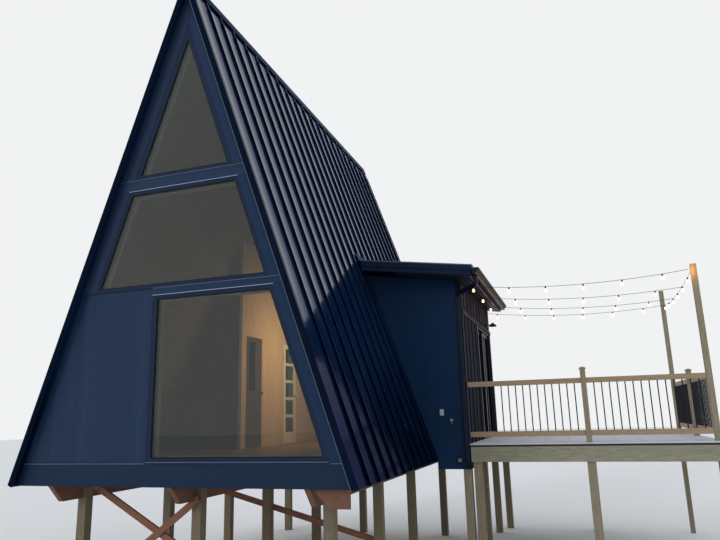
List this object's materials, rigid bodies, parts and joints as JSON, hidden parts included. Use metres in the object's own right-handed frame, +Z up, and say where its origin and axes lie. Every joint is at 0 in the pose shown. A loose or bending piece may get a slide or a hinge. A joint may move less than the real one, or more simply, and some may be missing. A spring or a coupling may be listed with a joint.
{
  "type": "a-frame cabin",
  "caption": "A-frame cabin on timber posts with a standing-seam metal roof, glazed gable, side wing with patio door and railed deck.",
  "frame": {"origin": "middle of the foot of the front centre post, on the lowest ground", "axes": "+Z up, +Y from the glazed front into the cabin, +X towards the wing and the deck"},
  "size_m": [9.7028, 8.95, 9.241],
  "materials": {
    "treated_timber": "rough sawn, weathered",
    "red_timber": "rough sawn, stained",
    "navy_board": "painted, satin",
    "navy_panel": "painted, grooved",
    "framing": "planed",
    "pale_board": "clear coated boards",
    "black_frame": "satin black",
    "window_glass": "clear",
    "roof_metal": "glossy black",
    "navy_metal": "satin navy",
    "dark_door": "painted, satin",
    "white_door": "painted, satin",
    "deck_board": "weathered",
    "rail_timber": "planed",
    "steel": "satin",
    "black_bar": "satin black",
    "cord_jacket": "dull black"
  },
  "bodies": {
    "cabin": {"foundation_posts": "treated_timber", "floor_beams": "red_timber", "cross_braces": "red_timber", "cabin_floor": "framing", "front_boards": "navy_board", "front_panels": "navy_panel", "front_wall": "framing", "front_rake_boards": "navy_board", "front_window_frames": "black_frame", "front_glass": "window_glass", "roof_frame_left": "framing", "roof_frame_right": "framing", "roof_metal_left": "roof_metal", "roof_metal_right": "roof_metal", "rake_trims": "roof_metal", "ridge_cap": "roof_metal", "rear_wall": "framing", "rear_panels": "navy_panel", "rear_boards": "navy_board", "rear_rake_boards": "navy_board", "rear_window_frames": "black_frame", "rear_glass": "window_glass", "front_partition": "pale_board", "side_partition": "pale_board", "partition_top": "pale_board", "door_hinges": "steel", "wing_floor": "framing", "wing_front_wall": "navy_panel", "wing_side_wall": "navy_panel", "wing_door_header": "navy_panel", "wing_rear_wall": "navy_panel", "wing_roof": "roof_metal", "wing_fascia": "navy_board", "gutter": "roof_metal", "downspout": "navy_metal", "patio_frame": "black_frame", "patio_fixed_leaf": "black_frame", "patio_fixed_glass": "window_glass", "deck_frame": "treated_timber", "deck_boards": "deck_board", "deck_posts": "treated_timber", "front_rail": "rail_timber", "side_rail": "rail_timber", "front_balusters": "black_bar", "side_balusters": "black_bar", "light_string_1": "cord_jacket", "light_string_2": "cord_jacket", "light_string_3": "cord_jacket", "light_string_4": "cord_jacket", "side_wire": "steel", "light_hooks": "steel"},
    "patio_leaf": {"patio_sliding_leaf": "black_frame", "patio_sliding_glass": "window_glass"},
    "hall_door_leaf": {"hall_door": "dark_door", "hall_door_glass": "window_glass"},
    "room_door_leaf": {"room_door": "white_door", "room_door_glass": "window_glass"}
  },
  "joints": [
    {"name": "patio_slide", "type": "slide", "parent": "cabin", "child": "patio_leaf", "axis": [0, 1, 0], "range_m": [0, 0.74]},
    {"name": "hall_door_swing", "type": "hinge", "parent": "cabin", "child": "hall_door_leaf", "pos_m": [-0.863, 2.82, 2.095], "axis": [0, 0, -1], "range_deg": [0, 90]},
    {"name": "room_door_swing", "type": "hinge", "parent": "cabin", "child": "room_door_leaf", "pos_m": [-0.863, 4.42, 2.095], "axis": [0, 0, -1], "range_deg": [0, 90]}
  ]
}
